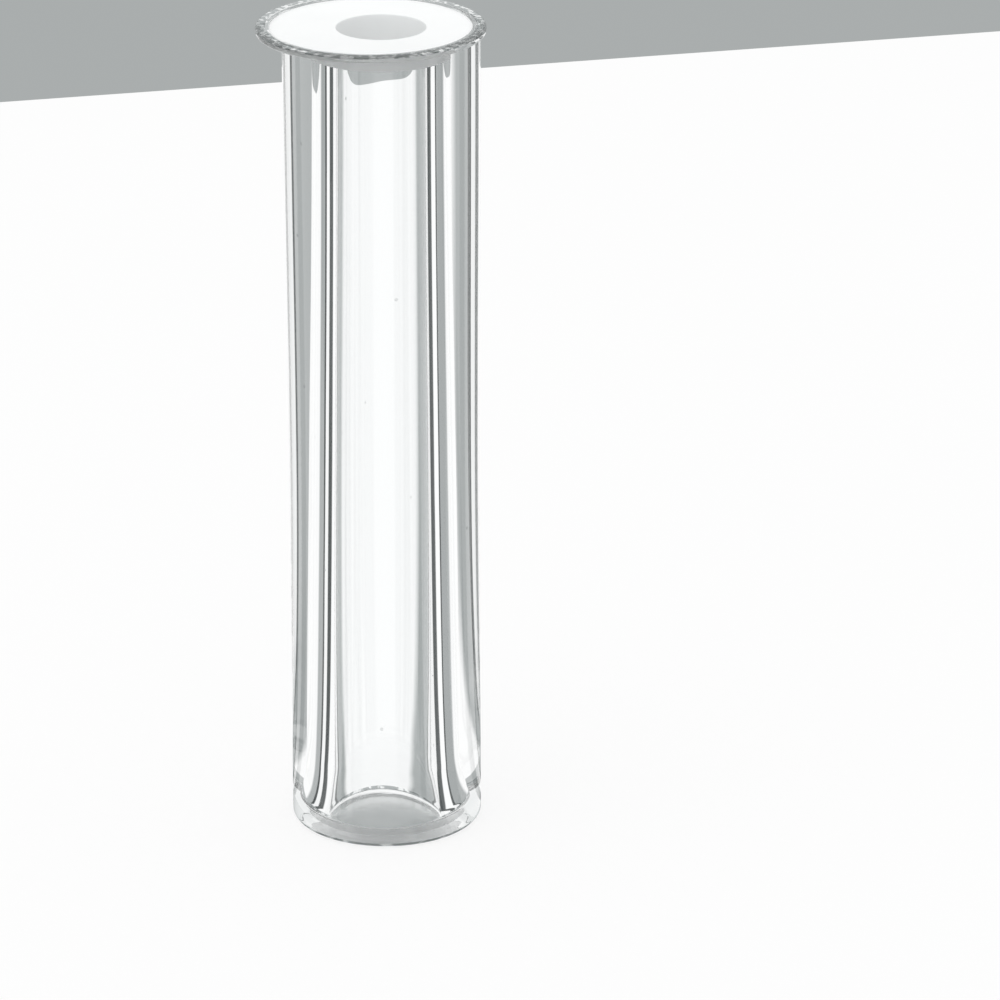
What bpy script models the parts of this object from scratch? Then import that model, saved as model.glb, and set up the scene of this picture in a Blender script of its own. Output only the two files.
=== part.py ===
"""Clear glass bud vase: a thick-walled tube on a base disc, with a wide thin lip bonded on top."""

import math

import bpy

# Overall sizes, in metres
vase_height = 0.2000
round_steps = 72

# Tube: it stands a little to one side of the lip, and its outer side is very slightly waisted
tube_radius = 0.0230
waist_narrowing = 0.00025
waist_height = 0.0850
shoulder_widening = 0.00025
tube_offset = 0.0024
side_rows = 7

# Bore: it widens downwards, flares out at its foot, and leans a little towards the lip's axis
bore_radius = 0.01055
bore_widening = 0.00125
foot_flare = 0.0016
flare_rise = 0.0127
bore_lean = 0.0006

# Base disc, with a rounded lower edge and a shallow ground hollow underneath
base_thickness = 0.0020
foot_rounding = 0.0014
hollow_radius = 0.0120
hollow_depth = 0.0008

# Collar: a thin disc that stands out all round as the vase's lip, with a shallow recess as its mouth
collar_height = 0.0014
lip_overhang = 0.0037
edge_rounding = 0.0005
rim_width = 0.0032
mouth_rounding = 0.0002
recess_depth = 0.0005

# The bonded faces keep this gap, and their outer edges are broken by this much
bond_gap = 0.0003
edge_break = 0.0003


def smooth(t):
    """Ease from 0 to 1 with level ends."""
    return t * t * (3.0 - 2.0 * t)


def arc(centre, radius, start, end, rows):
    """Points of an arc in the profile plane, with angles in degrees from +X."""
    points = []
    for row in range(rows + 1):
        angle = math.radians(start + (end - start) * row / rows)
        x = centre[0] + radius * math.cos(angle)
        z = centre[1] + radius * math.sin(angle)
        points.append((x, z))
    return points


def glass(name, colour, roughness):
    """Clear glass for one piece."""
    material = bpy.data.materials.new(name)
    material.use_nodes = True
    shader = material.node_tree.nodes["Principled BSDF"]
    shader.inputs["Base Color"].default_value = (*colour, 1.0)
    shader.inputs["Roughness"].default_value = roughness
    shader.inputs["Metallic"].default_value = 0.0
    shader.inputs["IOR"].default_value = 1.5
    shader.inputs["Transmission Weight"].default_value = 1.0
    return material


def turned(name, profile, closed, collection, material=None):
    """Turn a profile, given as (radius, height) from the top down its outer side, about Z."""
    vertices = [(x, 0.0, z) for x, z in profile]
    edges = [(index, index + 1) for index in range(len(profile) - 1)]
    if closed:
        edges.append((len(profile) - 1, 0))
    mesh = bpy.data.meshes.new(name)
    mesh.from_pydata(vertices, edges, [])
    piece = bpy.data.objects.new(name, mesh)
    collection.objects.link(piece)
    screw = piece.modifiers.new("Turn", "SCREW")
    screw.axis = "Z"
    screw.steps = round_steps
    screw.render_steps = round_steps
    screw.use_merge_vertices = True
    screw.merge_threshold = 0.00001
    screw.use_smooth_shade = True
    if material:
        mesh.materials.append(material)
    return piece


def drill(piece, cutter):
    """Bore the piece out with the cutter."""
    cut = piece.modifiers.new("Bore", "BOOLEAN")
    cut.operation = "DIFFERENCE"
    cut.solver = "EXACT"
    cut.object = cutter


def keep_edges_sharp(piece):
    """Apply the modifiers so far, then shade the curved faces smooth and keep the edges crisp."""
    depsgraph = bpy.context.evaluated_depsgraph_get()
    finished = bpy.data.meshes.new_from_object(piece.evaluated_get(depsgraph))
    finished.name = piece.name
    piece.modifiers.clear()
    piece.data = finished
    finished.shade_smooth()
    finished.set_sharp_from_angle(angle=math.radians(35.0))


# Start from an empty scene
for old in list(bpy.data.objects):
    bpy.data.objects.remove(old, do_unlink=True)

vase = bpy.data.collections.new("bud_vase")
cutters = bpy.data.collections.new("cutters")
bpy.context.scene.collection.children.link(vase)
bpy.context.scene.collection.children.link(cutters)

# The tube's outer radius at the foot, the waist and the shoulder
foot_radius = tube_radius
waist_radius = tube_radius - waist_narrowing
shoulder_radius = tube_radius + shoulder_widening

tube_bottom = base_thickness + bond_gap
tube_top = vase_height - collar_height - bond_gap
collar_bottom = vase_height - collar_height

# Bore cutter: on the tube's axis, leaning with its top over the tube's middle
overrun = 10.0 * bond_gap
bore_low_radius = bore_radius + bore_widening
flare_start = tube_bottom + flare_rise
bore = [(0.0, vase_height + overrun), (bore_radius, vase_height + overrun), (bore_radius, tube_top)]
for row in range(1, side_rows + 1):
    t = row / side_rows
    bore.append((bore_radius + bore_widening * smooth(t), tube_top - (tube_top - flare_start) * t))
for row in range(1, 5):
    t = row / 4.0
    bore.append((bore_low_radius + foot_flare * t ** 1.5, flare_start - flare_rise * t))
bore += [(bore_low_radius + foot_flare, tube_bottom - overrun), (0.0, tube_bottom - overrun)]
bore_cutter = turned("bore_cutter", bore, False, cutters)
bore_cutter.hide_render = True
bore_cutter.display_type = "WIRE"
bore_cutter.location.x = tube_offset - bore_lean
bore_cutter.rotation_euler.y = math.atan2(bore_lean, tube_top)

# Tube: a solid bar turned about its own axis, then bored
side = []
for row in range(side_rows + 1):
    t = row / side_rows
    z = tube_top - edge_break - (tube_top - edge_break - waist_height) * t
    side.append((waist_radius + (shoulder_radius - waist_radius) * smooth(1.0 - t), z))
for row in range(1, side_rows + 1):
    t = row / side_rows
    z = waist_height - (waist_height - tube_bottom - edge_break) * t
    side.append((waist_radius + (foot_radius - waist_radius) * smooth(t), z))
bar = [(0.0, tube_top), (side[0][0] - edge_break, tube_top)]
bar += side
bar += [(side[-1][0] - edge_break, tube_bottom), (0.0, tube_bottom)]
tube = turned("body_tube", bar, False, vase, glass("tube_glass", (0.95, 0.97, 0.97), 0.02))
tube.location.x = tube_offset
drill(tube, bore_cutter)

# Base disc: under the tube, on the tube's axis
bowl_radius = (hollow_radius ** 2 + hollow_depth ** 2) / (2.0 * hollow_depth)
bowl_angle = math.degrees(math.asin(hollow_radius / bowl_radius))
disc = [(0.0, base_thickness), (foot_radius - edge_break, base_thickness),
        (foot_radius, base_thickness - edge_break)]
disc += arc((foot_radius - foot_rounding, foot_rounding), foot_rounding, 0.0, -90.0, 6)
disc += arc((0.0, hollow_depth - bowl_radius), bowl_radius, 90.0 - bowl_angle, 90.0, 6)
base = turned("base_disc", disc, False, vase, glass("base_glass", (0.93, 0.95, 0.95), 0.12))
base.location.x = tube_offset

# Collar: the recess, the rim, the rounded lip edge and the underside, then the bore through it
lip_radius = shoulder_radius + lip_overhang
mouth_radius = lip_radius - rim_width
recess_floor = vase_height - recess_depth
lip = [(0.0, recess_floor), (mouth_radius, recess_floor)]
lip += arc((mouth_radius + mouth_rounding, vase_height - mouth_rounding), mouth_rounding, 180.0, 90.0, 3)
lip += arc((lip_radius - edge_rounding, vase_height - edge_rounding), edge_rounding, 90.0, 0.0, 4)
lip += arc((lip_radius - edge_rounding, collar_bottom + edge_rounding), edge_rounding, 0.0, -90.0, 4)
lip += [(0.0, collar_bottom)]
collar = turned("lip_collar", lip, False, vase, glass("collar_glass", (0.95, 0.97, 0.97), 0.02))
drill(collar, bore_cutter)

bpy.context.view_layer.update()
for piece in (tube, base, collar):
    keep_edges_sharp(piece)
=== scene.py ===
import math

import bpy
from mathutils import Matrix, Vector


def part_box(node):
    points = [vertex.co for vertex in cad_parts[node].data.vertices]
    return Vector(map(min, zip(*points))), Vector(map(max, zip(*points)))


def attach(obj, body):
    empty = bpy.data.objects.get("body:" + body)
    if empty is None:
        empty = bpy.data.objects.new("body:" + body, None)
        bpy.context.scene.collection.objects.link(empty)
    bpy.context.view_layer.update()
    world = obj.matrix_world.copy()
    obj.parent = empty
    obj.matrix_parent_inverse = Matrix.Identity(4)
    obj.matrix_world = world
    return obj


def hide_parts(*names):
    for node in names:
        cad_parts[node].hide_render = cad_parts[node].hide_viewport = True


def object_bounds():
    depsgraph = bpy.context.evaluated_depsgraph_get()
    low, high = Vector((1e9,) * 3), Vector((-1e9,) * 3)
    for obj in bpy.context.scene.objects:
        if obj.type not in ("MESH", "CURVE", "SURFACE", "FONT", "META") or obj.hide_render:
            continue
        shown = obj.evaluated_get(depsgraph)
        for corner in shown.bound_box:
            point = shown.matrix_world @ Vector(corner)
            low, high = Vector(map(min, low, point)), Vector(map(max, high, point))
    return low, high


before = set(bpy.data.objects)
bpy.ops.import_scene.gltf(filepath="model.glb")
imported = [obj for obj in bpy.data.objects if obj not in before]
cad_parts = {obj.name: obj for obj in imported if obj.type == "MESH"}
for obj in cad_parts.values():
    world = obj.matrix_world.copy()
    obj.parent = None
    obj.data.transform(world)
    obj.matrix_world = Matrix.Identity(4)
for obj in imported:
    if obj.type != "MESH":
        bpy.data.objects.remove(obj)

cad_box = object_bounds()

# Tube: a heavy length of clear glass, drawn so that its side is very slightly waisted, with a bore
# that leans a little, widens downwards and flares out at its foot. It is polished, apart from the
# ground top of the bore, and stands bonded on the base disc with clear glue.
tube_radius = 0.0230
waist_narrowing = 0.00025
waist_height = 0.0850
shoulder_widening = 0.00025
tube_offset = 0.0024
bore_top_radius = 0.01055
bore_low_radius = 0.0118
bore_foot_radius = 0.0134
bore_low_height = 0.0160
bore_lean = 0.0006
foot_return = 0.5
flare_curve = 1.5
corner_fillet = 0.0008
ground_end = 0.1930
ring_sides = 192
side_rows = 32
bore_rows = 16
flare_rows = 8
weld_distance = 0.000004
crease_angle = 32.0
level_face = 0.99
refractive_index = 1.5
glass_tint = (0.991, 0.998, 0.998, 1.0)
speck_grey = (0.45, 0.47, 0.47, 1.0)
glue_pale = (0.97, 0.98, 0.98, 1.0)
glue_grey = (0.90, 0.92, 0.92, 1.0)
mouth_pale = (0.95, 0.96, 0.96, 1.0)
mouth_white = (0.99, 1.0, 1.0, 1.0)
base_joint = (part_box("base_disc")[1][2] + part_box("body_tube")[0][2]) / 2.0
collar_joint = (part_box("body_tube")[1][2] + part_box("lip_collar")[0][2]) / 2.0
bore_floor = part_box("base_disc")[1][2]
shoulder_radius = tube_radius + shoulder_widening


def start_ring(name, centre, radius, height):
    """Start a piece as one ring of edges about an upright axis, in edit mode."""
    bpy.ops.object.select_all(action="DESELECT")
    bpy.ops.mesh.primitive_circle_add(vertices=ring_sides, radius=radius, location=(centre, 0.0, height))
    piece = bpy.context.object
    piece.name = name
    piece.data.name = name
    bpy.ops.object.transform_apply(location=True, rotation=True, scale=True)
    bpy.ops.object.mode_set(mode="EDIT")
    bpy.ops.mesh.select_all(action="SELECT")
    return piece, [centre, radius, height]


def draw_to(ring, centre, radius, height):
    """Pull the open ring on to its next place, leaving a wall of glass behind it."""
    bpy.ops.mesh.extrude_region_move(
        TRANSFORM_OT_translate={"value": (centre - ring[0], 0.0, height - ring[2])})
    grow = radius / ring[1]
    bpy.ops.transform.resize(value=(grow, grow, 1.0), center_override=(centre, 0.0, height))
    ring[:] = [centre, radius, height]


def draw_round(ring, centre, middle, radius, start, end, rows):
    """Pull the ring round an arc of the profile, with angles in degrees from outwards."""
    for row in range(1, rows + 1):
        angle = math.radians(start + (end - start) * row / rows)
        draw_to(ring, centre, middle[0] + radius * math.cos(angle), middle[1] + radius * math.sin(angle))


def select_open_rings():
    """Select the rings that are still open, and nothing else."""
    bpy.ops.mesh.select_all(action="DESELECT")
    bpy.ops.mesh.select_non_manifold(extend=False)


def finish_glass(piece, finishes, finish_of):
    """Weld the piece, face it outwards, smooth it, and give each face the finish that it takes."""
    bpy.ops.mesh.select_all(action="SELECT")
    bpy.ops.mesh.remove_doubles(threshold=weld_distance)
    bpy.ops.mesh.normals_make_consistent(inside=False)
    bpy.ops.object.mode_set(mode="OBJECT")
    bpy.ops.object.shade_smooth_by_angle(angle=math.radians(crease_angle))
    for finish in finishes:
        piece.data.materials.append(finish)
    for face in piece.data.polygons:
        face.material_index = finish_of(face)


def from_axis(face, centre):
    """How far a face's middle is from an upright axis."""
    return math.hypot(face.center.x - centre, face.center.y)


def smooth(t):
    """Ease from 0 to 1 with level ends."""
    return t * t * (3.0 - 2.0 * t)


def bore_at(height):
    """Where the leaning bore's middle is at one height, and its radius there."""
    t = min(1.0, (collar_joint - height) / (collar_joint - bore_low_height))
    middle = tube_offset - bore_lean * t
    radius = bore_top_radius + (bore_low_radius - bore_top_radius) * smooth(t)
    if height < bore_low_height:
        t = (bore_low_height - height) / (bore_low_height - bore_floor)
        middle += foot_return * bore_lean * t
        radius += (bore_foot_radius - bore_low_radius) * t ** flare_curve
    return middle, radius


def side_radius(height):
    """The outer radius of the drawn tube at one height."""
    waist = tube_radius - waist_narrowing
    if height < waist_height:
        return waist + (tube_radius - waist) * smooth((waist_height - height) / (waist_height - base_joint))
    return waist + (shoulder_radius - waist) * smooth((height - waist_height) / (collar_joint - waist_height))


class Wire:
    """A socket of a shader, so that sums on values can be written as sums."""

    def __init__(self, tree, socket=None):
        self.tree = tree
        self.socket = socket

    def node(self, kind, settings={}, inputs={}, output=0):
        """Add any node: its settings first, then the values or links of its sockets."""
        made = self.tree.nodes.new("ShaderNode" + kind)
        for name, setting in settings.items():
            setattr(made, name, setting)
        for name, value in inputs.items():
            if isinstance(value, Wire):
                self.tree.links.new(value.socket, made.inputs[name])
            else:
                made.inputs[name].default_value = value
        return Wire(self.tree, made.outputs[output] if made.outputs else None)

    def beside(self, output):
        """Another output of the same node."""
        return Wire(self.tree, self.socket.node.outputs[output])

    def math(self, operation, first, second=0.0):
        """A sum on one or two values, by the name of its operation."""
        return self.node("Math", {"operation": operation}, {0: first, 1: second})

    def mix(self, share, first, second):
        """A colour between two others."""
        return self.node("Mix", {"data_type": "RGBA"}, {0: share, 6: first, 7: second}, output=2)

    def fade(self, start, end, low=0.0, high=1.0):
        """From low where this value is at start, to high where it is at end."""
        return self.node("MapRange", inputs={0: self, 1: start, 2: end, 3: low, 4: high})

    def __add__(self, other):
        return self.math("ADD", self, other)

    def __radd__(self, other):
        return self.math("ADD", other, self)

    def __sub__(self, other):
        return self.math("SUBTRACT", self, other)

    def __rsub__(self, other):
        return self.math("SUBTRACT", other, self)

    def __mul__(self, other):
        return self.math("MULTIPLY", self, other)

    def __rmul__(self, other):
        return self.math("MULTIPLY", other, self)

    def __gt__(self, other):
        return self.math("GREATER_THAN", self, other)

    def __lt__(self, other):
        return self.math("LESS_THAN", self, other)


def new_material(name):
    """An empty material, the wire that its nodes start from, and each point's place on the piece."""
    material = bpy.data.materials.new(name)
    material.use_nodes = True
    material.node_tree.nodes.clear()
    wire = Wire(material.node_tree)
    return material, wire, wire.node("TexCoord", output="Object")


def clear_glass(name, wave_size, wave_stretch, wave_depth, line_depth, speck_size):
    """Clear, slightly cool glass with soft waves, long fine draw lines, wipe marks and a few specks."""
    material, wire, place = new_material(name)
    along = wire.node("Mapping", inputs={"Vector": place, "Scale": (1.0, 1.0, wave_stretch)})
    waves = wire.node("TexNoise", inputs={"Vector": along, "Scale": 1.0 / wave_size, "Detail": 1.0})
    drawn = wire.node("Mapping", inputs={"Vector": place, "Scale": (1.0, 1.0, 0.02)})
    lines = wire.node("TexNoise", inputs={"Vector": drawn, "Scale": 550.0, "Detail": 1.0})
    wiped = wire.node("TexNoise", inputs={"Vector": place, "Scale": 70.0, "Detail": 3.0})
    smear = wiped.fade(0.62, 0.80, high=0.03)
    cells = wire.node("TexVoronoi", {"feature": "F1"}, {"Vector": place, "Scale": 80.0})
    specks = cells < speck_size
    bump = wire.node("Bump", inputs={
        "Height": waves + lines * line_depth, "Strength": 1.0, "Distance": wave_depth})
    glass = wire.node("BsdfPrincipled", inputs={
        "Base Color": wire.mix(specks * 0.6, glass_tint, speck_grey), "Roughness": smear + specks * 0.2,
        "IOR": refractive_index, "Transmission Weight": 1.0, "Normal": bump})
    wire.node("OutputMaterial", inputs={"Surface": glass})
    return material


def clear_glue(name):
    """The bond between two pieces: as clear as the glass, with a few pinprick bubbles."""
    material, wire, place = new_material(name)
    cells = wire.node("TexVoronoi", {"feature": "F1"}, {"Vector": place, "Scale": 420.0})
    bubbles = cells < 0.05
    glue = wire.node("BsdfPrincipled", inputs={
        "Base Color": wire.mix(cells, glue_pale, glue_grey), "Roughness": 0.3,
        "IOR": refractive_index, "Transmission Weight": 1.0, "Alpha": bubbles * 0.25})
    wire.node("OutputMaterial", inputs={"Surface": glue})
    return material


def ground_mouth(name):
    """Glass left white and matt by grinding, a little patchy, with a very fine grain."""
    material, wire, place = new_material(name)
    grain = wire.node("TexNoise", inputs={"Vector": place, "Scale": 2200.0, "Detail": 3.0})
    patches = wire.node("TexNoise", inputs={"Vector": place, "Scale": 90.0, "Detail": 2.0})
    bump = wire.node("Bump", inputs={"Height": grain, "Strength": 1.0, "Distance": 0.00001})
    glass = wire.node("BsdfPrincipled", inputs={
        "Base Color": wire.mix(patches, mouth_pale, mouth_white), "Roughness": 0.45 + patches * 0.1,
        "IOR": refractive_index, "Normal": bump})
    wire.node("OutputMaterial", inputs={"Surface": glass})
    return material


drawn_glass = clear_glass(
    "drawn_glass", wave_size=0.0070, wave_stretch=0.25, wave_depth=0.000008, line_depth=0.4, speck_size=0.035)
bond_glue = clear_glue("bond_glue")
mouth_ground = ground_mouth("ground_mouth")

tube, ring = start_ring("vase_tube", *bore_at(collar_joint), collar_joint)
draw_to(ring, *bore_at(ground_end), ground_end)
for row in range(1, bore_rows + 1):
    height = ground_end + (bore_low_height - ground_end) * row / bore_rows
    draw_to(ring, *bore_at(height), height)
for row in range(1, flare_rows + 1):
    height = bore_low_height + (bore_floor + corner_fillet - bore_low_height) * row / flare_rows
    draw_to(ring, *bore_at(height), height)

# The corner between the bore and its floor is rounded, and the joint with the base cuts the rounding
fillet_turn = math.degrees(math.asin(1.0 - (base_joint - bore_floor) / corner_fillet))
foot_middle, foot_radius = bore_at(bore_floor + corner_fillet)
corner_middle = (foot_radius - corner_fillet, bore_floor + corner_fillet)
draw_round(ring, foot_middle, corner_middle, corner_fillet, 0.0, -fillet_turn, rows=4)
bore_foot = list(ring)
for row in range(side_rows + 1):
    height = base_joint + (collar_joint - base_joint) * row / side_rows
    draw_to(ring, tube_offset, side_radius(height), height)
select_open_rings()
bpy.ops.mesh.bridge_edge_loops()


def tube_finish(face):
    """1 on the tube's two bonded faces, under the lip and over the base, 2 in the bore's ground mouth."""
    if abs(face.normal.z) > level_face:
        return 1
    return 2 if face.center.z > ground_end and from_axis(face, tube_offset) < bore_low_radius else 0


finish_glass(tube, (drawn_glass, bond_glue, mouth_ground), tube_finish)
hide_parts("body_tube")
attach(tube, "root")

# Base: a thin polished disc, as wide as the tube that is bonded on it, with a rounded lower edge that
# is painted dark as shade. The shallow hollow ground into its underside is left matt and greyed as
# painted shade, and shows through the bore as a dome.
foot_rounding = 0.0014
rounding_land = 0.0004
hollow_radius = 0.0120
hollow_depth = 0.0008
almost_upright = 89.995
floor_rings = (0.75, 0.5, 0.25, 0.05)
joint_margin = 0.000002
hollow_margin = 0.00001
half_level_face = 0.5
# The hollow's two greys are painted shade from under the vase, seen through the bore
hollow_shade_dark = (0.58, 0.60, 0.60, 1.0)
hollow_shade_pale = (0.66, 0.68, 0.68, 1.0)
# The pale of the painted light mottles on the edges that are painted dark as shade
painted_light_mottle = (0.90, 0.92, 0.92, 1.0)
foot_inside = tube_radius - foot_rounding


def ground_glass_painted_shade(name):
    """Glass left matt by fine grinding, with slight scratches round the grinding wheel's turn, greyed as
    painted shade.
    """
    material, wire, place = new_material(name)
    centred = wire.node("Mapping", {"vector_type": "POINT"}, {
        "Vector": place, "Location": (-tube_offset, 0.0, 0.0)})
    grain = wire.node("TexNoise", inputs={"Vector": place, "Scale": 2600.0, "Detail": 3.0})
    turns = wire.node("TexWave", {"wave_type": "RINGS", "rings_direction": "Z"},
                      {"Vector": centred, "Scale": 420.0, "Distortion": 3.0, "Detail": 2.0})
    bump = wire.node("Bump", inputs={"Height": grain + turns * 0.3, "Strength": 1.0, "Distance": 0.00001})
    glass = wire.node("BsdfPrincipled", inputs={
        "Base Color": wire.mix(grain, hollow_shade_dark, hollow_shade_pale), "Roughness": 0.36 + grain * 0.12,
        "IOR": refractive_index, "Transmission Weight": 1.0, "Normal": bump})
    wire.node("OutputMaterial", inputs={"Surface": glass})
    return material


def painted_shade_edge_glass(name, mottle_size, darkest_shade):
    """An edge of the glass, seen through a long way of it: painted shade, dark, with painted light mottles in
    its waves.
    """
    material, wire, place = new_material(name)
    mottles = wire.node("TexNoise", inputs={"Vector": place, "Scale": 1.0 / mottle_size, "Detail": 2.0})
    light = mottles.fade(0.50, 0.58)
    tone = wire.mix(light, (darkest_shade, darkest_shade + 0.02, darkest_shade + 0.02, 1.0), painted_light_mottle)
    bump = wire.node("Bump", inputs={"Height": mottles, "Strength": 1.0, "Distance": 0.00004})
    glass = wire.node("BsdfPrincipled", inputs={
        "Base Color": tone, "Roughness": 0.02 + light * 0.05, "IOR": refractive_index,
        "Transmission Weight": 1.0, "Normal": bump})
    wire.node("OutputMaterial", inputs={"Surface": glass})
    return material


base, ring = start_ring("vase_base", *bore_foot)
draw_to(ring, tube_offset, tube_radius, base_joint)
draw_to(ring, tube_offset, tube_radius, foot_rounding + rounding_land)
draw_round(ring, tube_offset, (foot_inside, foot_rounding), foot_rounding, 0.0, -90.0, rows=9)
draw_to(ring, tube_offset, (foot_inside + hollow_radius) / 2.0, 0.0)
draw_to(ring, tube_offset, hollow_radius, 0.0)
bowl_radius = (hollow_radius ** 2 + hollow_depth ** 2) / (2.0 * hollow_depth)
bowl_turn = math.degrees(math.asin(hollow_radius / bowl_radius))
draw_round(ring, tube_offset, (0.0, hollow_depth - bowl_radius), bowl_radius,
           90.0 - bowl_turn, almost_upright, rows=9)
bpy.ops.mesh.merge(type="CENTER")

# The ring left open at the joint is closed as the rest of the rounded corner and the bore's floor
select_open_rings()
ring[:] = bore_foot
draw_round(ring, foot_middle, corner_middle, corner_fillet, -fillet_turn, -90.0, rows=3)
for share in floor_rings:
    draw_to(ring, foot_middle, (foot_radius - corner_fillet) * share, bore_floor)
bpy.ops.mesh.merge(type="CENTER")


def base_finish(face):
    """1 on the face bonded to the tube, 2 in the ground hollow, greyed as painted shade, 3 on the rounded
    foot, painted dark as shade.
    """
    from_middle = from_axis(face, tube_offset)
    if face.normal.z > level_face and abs(face.center.z - base_joint) < joint_margin:
        return 1
    in_hollow = face.center.z < hollow_depth + hollow_margin and from_middle < hollow_radius
    if in_hollow and face.normal.z < -half_level_face:
        return 2
    return 3 if face.center.z < foot_rounding and from_middle > foot_inside else 0


hollow_ground = ground_glass_painted_shade("ground_glass_painted_shade")
# The rounded foot is painted dark as shade, with painted light mottles
foot_painted_shade = painted_shade_edge_glass("foot_painted_shade", mottle_size=0.0030, darkest_shade=0.16)
finish_glass(base, (drawn_glass, bond_glue, hollow_ground, foot_painted_shade), base_finish)
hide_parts("base_disc")
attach(base, "root")

# Lip: a thin disc that stands out all round, bonded on a little to one side, with the bore through
# it. Its rim is fire polished, and its top is painted dark as shade, with painted light mottles; the
# shallow recess inside it is ground matt, so the mouth is white.
lip_overhang = 0.0037
edge_rounding = 0.0005
rim_width = 0.0032
mouth_rounding = 0.0002
bore_rounding = 0.0002
recess_depth = 0.0005
recess_fillet = 0.0001
# The width of the rim's top that is painted dark as shade
painted_shade_rim_width = 0.0023
recess_margin = 0.00005
bore_margin = 0.0003
upper_face = 0.3
vase_height = cad_box[1][2]
lip_radius = shoulder_radius + lip_overhang
mouth_radius = lip_radius - rim_width
recess_floor = vase_height - recess_depth

collar, ring = start_ring("vase_collar", tube_offset, bore_top_radius, collar_joint)
draw_to(ring, tube_offset, bore_top_radius, recess_floor - bore_rounding)
draw_round(ring, tube_offset, (bore_top_radius + bore_rounding, recess_floor - bore_rounding), bore_rounding,
           180.0, 90.0, rows=4)
draw_to(ring, 0.0, mouth_radius - recess_fillet, recess_floor)
draw_round(ring, 0.0, (mouth_radius - recess_fillet, recess_floor + recess_fillet), recess_fillet,
           -90.0, 0.0, rows=3)
draw_round(ring, 0.0, (mouth_radius + mouth_rounding, vase_height - mouth_rounding), mouth_rounding,
           180.0, 90.0, rows=4)
draw_to(ring, 0.0, lip_radius - painted_shade_rim_width, vase_height)
draw_round(ring, 0.0, (lip_radius - edge_rounding, vase_height - edge_rounding), edge_rounding,
           90.0, 0.0, rows=6)
draw_round(ring, 0.0, (lip_radius - edge_rounding, collar_joint + edge_rounding), edge_rounding,
           0.0, -90.0, rows=6)
draw_to(ring, tube_offset, shoulder_radius, collar_joint)
select_open_rings()
bpy.ops.mesh.bridge_edge_loops()


def collar_finish(face):
    """1 on the underside bonded to the tube, 2 on the ground recess and bore, 3 on the rim's top, painted
    dark as shade.
    """
    from_tube = from_axis(face, tube_offset)
    if face.normal.z < -level_face and from_tube < shoulder_radius:
        return 1
    in_recess = face.normal.z > half_level_face and face.center.z < recess_floor + recess_margin
    if from_tube < bore_top_radius + bore_margin or in_recess:
        return 2
    return 3 if face.normal.z > upper_face and from_axis(face, 0.0) > lip_radius - painted_shade_rim_width else 0


polished_glass = clear_glass(
    "fire_polished_glass", wave_size=0.0050, wave_stretch=1.0, wave_depth=0.00003, line_depth=0.0,
    speck_size=0.012)
# The rim's top is painted dark as shade, with painted light mottles
rim_painted_shade = painted_shade_edge_glass("rim_painted_shade", mottle_size=0.0016, darkest_shade=0.13)
finish_glass(collar, (polished_glass, bond_glue, mouth_ground, rim_painted_shade), collar_finish)
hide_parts("lip_collar")
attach(collar, "root")

# Floor: a plain white table top whose far edge shows behind the vase's neck. Clear glass is made
# visible by what lies round it, so the glass alone sees grey and dark cards painted on the table, and a
# painted shadow under the vase. The camera sees the white table and the vase's shadow.
floor_size = 10.0
table_gap = 0.0003
far_side = 0.6225
far_slope = 0.245
arc_side = 0.6325
arc_spread = 0.5
# Under the vase a grey patch is painted as shadow, which only the glass sees
painted_shadow_radius = 0.027
plain_share = 0.85
plain_white = (1.0, 1.0, 1.0, 1.0)
paint_dull = (0.90, 0.90, 0.90, 1.0)
paint_bright = (0.94, 0.94, 0.94, 1.0)
beyond_grey = (0.40, 0.42, 0.42, 1.0)
painted_shadow_grey = (0.42, 0.44, 0.44, 1.0)
grey_card = (0.39, 0.41, 0.41, 1.0)
dark_card = (0.07, 0.08, 0.08, 1.0)

# Each card has its first and last bearing and the fading of its two edges, in degrees, and its grey
cards = (
    (-74.0, -64.0, 2.0, 2.0, dark_card),
    (-55.0, -49.5, 1.0, 1.0, dark_card),
    (-49.5, -35.0, 1.0, 5.0, grey_card),
    (26.0, 52.0, 6.0, 1.0, grey_card),
    (52.0, 56.0, 1.0, 1.0, dark_card),
    (68.0, 78.0, 2.0, 2.0, dark_card))

bpy.ops.object.select_all(action="DESELECT")
bpy.ops.mesh.primitive_plane_add(size=floor_size, location=(0.0, 0.0, -table_gap))
floor = bpy.context.object
floor.name = "table_top"

table_paint, wire, place = new_material("table_paint")
across = wire.node("SeparateXYZ", inputs={"Vector": place}, output="X")
away = across.beside("Y")
reach = wire.node("VectorMath", {"operation": "LENGTH"}, {0: place}, output="Value")
by_camera = wire.node("LightPath", output="Is Camera Ray")
by_glass = wire.math("MAXIMUM", by_camera.beside("Is Glossy Ray"), by_camera.beside("Is Transmission Ray"))

# What the glass sees: the cards, the same before and behind the vase, and the painted shadow under it
both_ways = wire.math("ARCTAN2", across, wire.math("ABSOLUTE", away))
in_glass = plain_white
for first, last, first_fade, last_fade, card in cards:
    start = math.radians(first - first_fade / 2.0)
    end = math.radians(last + last_fade / 2.0)
    onto = both_ways.fade(start, start + math.radians(first_fade))
    off = both_ways.fade(end - math.radians(last_fade), end, low=1.0, high=0.0)
    in_glass = wire.mix(onto * off, in_glass, card)
in_glass = wire.mix(reach < painted_shadow_radius, in_glass, painted_shadow_grey)

# The camera sees the far edge straight, and the glass sees it as an arc that runs away to the sides
bearing = wire.math("ARCTAN2", across, away)
squared = bearing * bearing
straight_edge = away - across * far_slope > far_side
arc_edge = reach - squared * squared * arc_spread > arc_side
beyond = wire.math("MAXIMUM", straight_edge * by_camera, arc_edge * by_glass)

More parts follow.
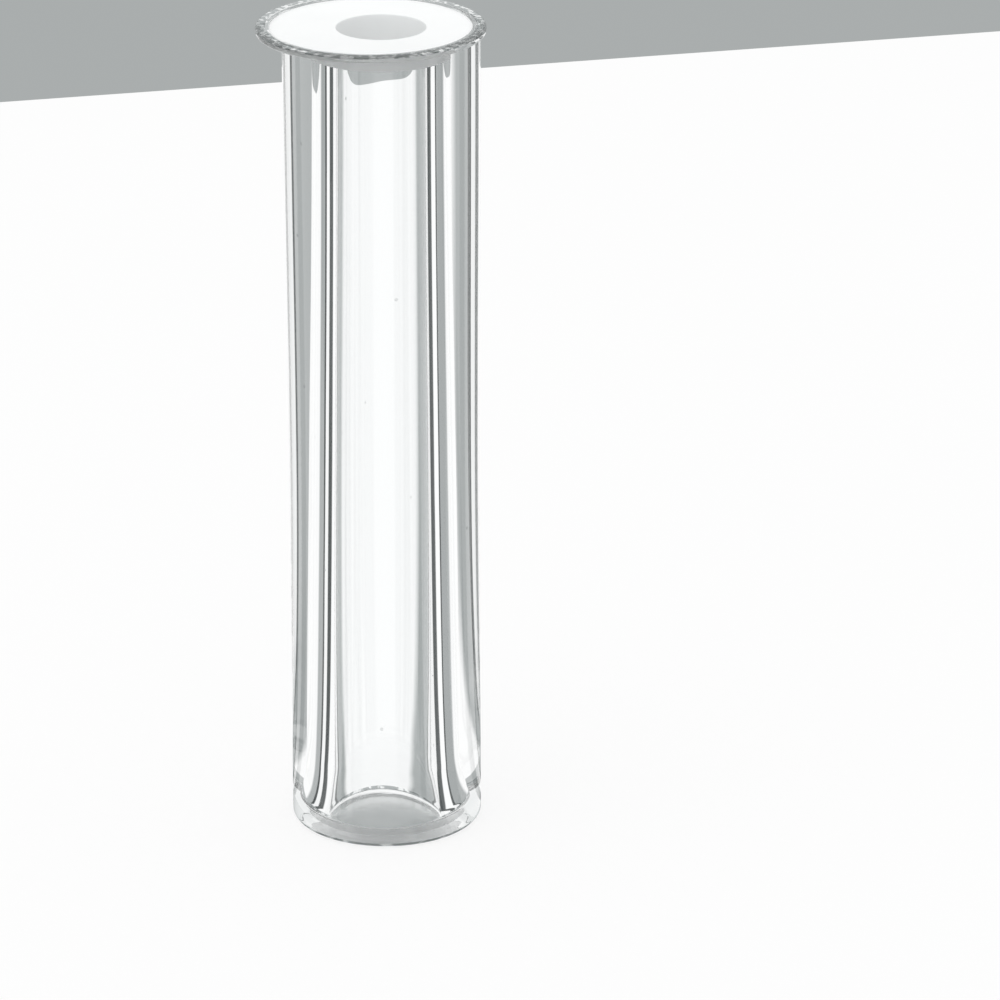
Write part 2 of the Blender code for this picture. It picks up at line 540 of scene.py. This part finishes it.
# The camera sees mostly plain white, and a share of lit paint that keeps the vase's shadow
table_top = wire.mix(by_camera, in_glass, plain_white)
plain = wire.node("Emission", inputs={"Color": wire.mix(beyond, table_top, beyond_grey), "Strength": 1.0})
grain = wire.node("TexNoise", inputs={"Vector": place, "Scale": 8.0, "Detail": 2.0})
lit = wire.node("BsdfDiffuse", inputs={"Color": wire.mix(grain, paint_dull, paint_bright)})
share = wire.math("MAXIMUM", by_camera * wire.math("MAXIMUM", plain_share, beyond), by_glass)
surface = wire.node("MixShader", inputs={0: share, 1: lit, 2: plain})
wire.node("OutputMaterial", inputs={"Surface": surface})
floor.data.materials.append(table_paint)

# Backdrop and light: a plain grey room beyond the table, paler overhead, and one large soft box
# above the vase, to the left and in front of it, which faces the vase.
wall_grey = (0.80, 0.82, 0.82, 1.0)
overhead_grey = (0.95, 0.95, 0.95, 1.0)
paler_from = 0.30
palest_from = 0.60
box_place = (-0.4, -0.3, 1.3)
way_to_box = (-0.4, -0.3, 1.2)
box_width = 0.9
box_power = 1.9
all_bounces = 64
glass_bounces = 48

room = bpy.data.worlds.new("plain_room")
bpy.context.scene.world = room
room.use_nodes = True
room.node_tree.nodes.clear()
wire = Wire(room.node_tree)
direction = wire.node("TexCoord", output="Generated")
up = wire.node("SeparateXYZ", inputs={"Vector": direction}, output="Z")
walls = wire.mix(up.fade(paler_from, palest_from), wall_grey, overhead_grey)
background = wire.node("Background", inputs={"Color": walls, "Strength": 1.0})
wire.node("OutputWorld", inputs={"Surface": background})

bpy.ops.object.light_add(type="AREA", location=box_place)
soft_box = bpy.context.object
soft_box.name = "soft_box"
soft_box.data.shape = "DISK"
soft_box.data.size = box_width
soft_box.data.energy = box_power
soft_box.rotation_euler = Vector(way_to_box).to_track_quat("Z", "Y").to_euler()

# Light crosses the thick glass many times before it leaves
bpy.context.scene.cycles.max_bounces = all_bounces
bpy.context.scene.cycles.transmission_bounces = glass_bounces
bpy.context.scene.cycles.glossy_bounces = glass_bounces
bpy.context.scene.cycles.transparent_max_bounces = glass_bounces

# Camera: a long lens from in front and above, as in the photograph. It stands a little to the
# right of the vase, which is left of the middle of the picture.
look_down = 21.15
camera_place = (0.0301, -1.2755, 0.5748)
sensor_width = 36.0
focal_length = 204.84

lens = bpy.data.cameras.new("camera")
lens.sensor_width = sensor_width
lens.lens = focal_length
camera = bpy.data.objects.new("camera", lens)
bpy.context.scene.collection.objects.link(camera)
camera.location = camera_place
camera.rotation_euler = (math.radians(90.0 - look_down), 0.0, 0.0)
bpy.context.scene.camera = camera
bpy.context.scene.view_settings.view_transform = "Standard"
